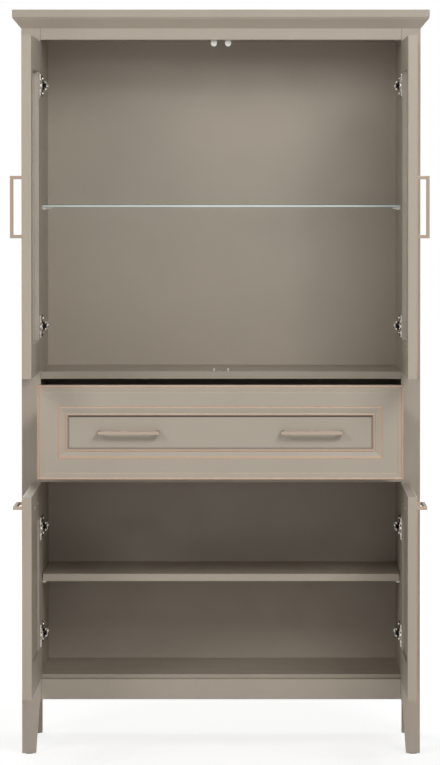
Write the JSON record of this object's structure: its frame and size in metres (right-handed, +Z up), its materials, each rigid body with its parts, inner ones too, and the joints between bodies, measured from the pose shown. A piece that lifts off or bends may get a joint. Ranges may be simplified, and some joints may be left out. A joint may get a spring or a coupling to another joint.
{
  "type": "glazed display cupboard",
  "caption": "Tall free-standing painted cupboard with glazed doors above, a drawer on telescopic slides and panelled doors below, sloped cornice and tapered front feet.",
  "frame": {"origin": "on the floor, on the centre line, midway from the back to the free edges of the open doors", "axes": "+X to the right as seen from the front, +Y to the back, +Z up"},
  "size_m": [1, 0.8364, 1.79],
  "materials": {
    "painted_wood": "satin greige paint over wood, arrises rubbed with copper glaze",
    "clear_glass": "clear float glass",
    "nickel": "nickel-plated pressed steel",
    "zinc_steel": "zinc-plated sheet steel",
    "champagne_metal": "champagne-coloured plated bar",
    "white_plastic": "white moulded plastic",
    "clear_plastic": "pale translucent plastic",
    "glide_plastic": "dark moulded plastic"
  },
  "bodies": {
    "cabinet": {"top_board": "painted_wood", "cornice_front": "painted_wood", "cornice_returns": "painted_wood", "front_post_left": "painted_wood", "front_post_right": "painted_wood", "rear_posts": "painted_wood", "top_rail": "painted_wood", "apron": "painted_wood", "side_rails": "painted_wood", "side_panels": "painted_wood", "inner_side_left": "painted_wood", "inner_side_right": "painted_wood", "top_panel": "painted_wood", "middle_panel": "painted_wood", "drawer_divider": "painted_wood", "bottom_panel": "painted_wood", "back_panel": "painted_wood", "rear_rail": "painted_wood", "glass_shelf": "clear_glass", "wood_shelf": "painted_wood", "shelf_pins": "nickel", "door_bumpers": "white_plastic", "door_pegs": "clear_plastic", "hinge_plates": "nickel", "hinge_arms": "nickel", "slide_outer_members": "zinc_steel", "foot_glides": "glide_plastic"},
    "upper_left_door": {"upper_left_door_stiles": "painted_wood", "upper_left_door_rails": "painted_wood", "upper_left_door_glass": "clear_glass", "upper_left_door_handle": "champagne_metal", "upper_left_door_hinge_cups": "nickel"},
    "upper_left_door_hinge_link": {"upper_left_door_hinge_links": "nickel"},
    "upper_right_door": {"upper_right_door_stiles": "painted_wood", "upper_right_door_rails": "painted_wood", "upper_right_door_glass": "clear_glass", "upper_right_door_handle": "champagne_metal", "upper_right_door_hinge_cups": "nickel"},
    "upper_right_door_hinge_link": {"upper_right_door_hinge_links": "nickel"},
    "lower_left_door": {"lower_left_door_stiles": "painted_wood", "lower_left_door_rails": "painted_wood", "lower_left_door_panel": "painted_wood", "lower_left_door_handle": "champagne_metal", "lower_left_door_hinge_cups": "nickel"},
    "lower_left_door_hinge_link": {"lower_left_door_hinge_links": "nickel"},
    "lower_right_door": {"lower_right_door_stiles": "painted_wood", "lower_right_door_rails": "painted_wood", "lower_right_door_panel": "painted_wood", "lower_right_door_handle": "champagne_metal", "lower_right_door_hinge_cups": "nickel"},
    "lower_right_door_hinge_link": {"lower_right_door_hinge_links": "nickel"},
    "drawer": {"drawer_front_stiles": "painted_wood", "drawer_front_rails": "painted_wood", "drawer_front_panel": "painted_wood", "drawer_box_sides": "painted_wood", "drawer_box_ends": "painted_wood", "drawer_bottom": "painted_wood", "drawer_handles": "champagne_metal", "slide_inner_members": "zinc_steel"},
    "drawer_slide_middle": {"slide_middle_members": "zinc_steel"}
  },
  "joints": [
    {"name": "upper_left_door_swing", "type": "hinge", "parent": "cabinet", "child": "upper_left_door", "pos_m": [-0.4465, 0.02675, 1.32], "axis": [0, 0, -1], "range_deg": [-90, 5]},
    {"name": "upper_left_door_link_swing", "type": "hinge", "parent": "cabinet", "child": "upper_left_door_hinge_link", "pos_m": [-0.4235, 0.04925, 1.32], "axis": [0, 0, -1], "range_deg": [-90, 5]},
    {"name": "upper_right_door_swing", "type": "hinge", "parent": "cabinet", "child": "upper_right_door", "pos_m": [0.4465, 0.02675, 1.32], "axis": [0, 0, 1], "range_deg": [-90, 5]},
    {"name": "upper_right_door_link_swing", "type": "hinge", "parent": "cabinet", "child": "upper_right_door_hinge_link", "pos_m": [0.4235, 0.04925, 1.32], "axis": [0, 0, 1], "range_deg": [-90, 5]},
    {"name": "lower_left_door_swing", "type": "hinge", "parent": "cabinet", "child": "lower_left_door", "pos_m": [-0.4465, 0.02675, 0.4185], "axis": [0, 0, -1], "range_deg": [-90, 5]},
    {"name": "lower_left_door_link_swing", "type": "hinge", "parent": "cabinet", "child": "lower_left_door_hinge_link", "pos_m": [-0.4235, 0.04925, 0.4185], "axis": [0, 0, -1], "range_deg": [-90, 5]},
    {"name": "lower_right_door_swing", "type": "hinge", "parent": "cabinet", "child": "lower_right_door", "pos_m": [0.4465, 0.02675, 0.4185], "axis": [0, 0, 1], "range_deg": [-90, 5]},
    {"name": "lower_right_door_link_swing", "type": "hinge", "parent": "cabinet", "child": "lower_right_door_hinge_link", "pos_m": [0.4235, 0.04925, 0.4185], "axis": [0, 0, 1], "range_deg": [-90, 5]},
    {"name": "drawer_slide", "type": "slide", "parent": "cabinet", "child": "drawer", "axis": [0, -1, 0], "range_m": [-0.24, 0.09]},
    {"name": "drawer_slide_middle", "type": "slide", "parent": "cabinet", "child": "drawer_slide_middle", "axis": [0, -1, 0], "range_m": [-0.12, 0.045]}
  ],
  "couplings": [
    {"joint": "upper_left_door_link_swing", "follows": "upper_left_door_swing", "ratio": 1},
    {"joint": "upper_right_door_link_swing", "follows": "upper_right_door_swing", "ratio": 1},
    {"joint": "lower_left_door_link_swing", "follows": "lower_left_door_swing", "ratio": 1},
    {"joint": "lower_right_door_link_swing", "follows": "lower_right_door_swing", "ratio": 1},
    {"joint": "drawer_slide_middle", "follows": "drawer_slide", "ratio": 0.5}
  ]
}
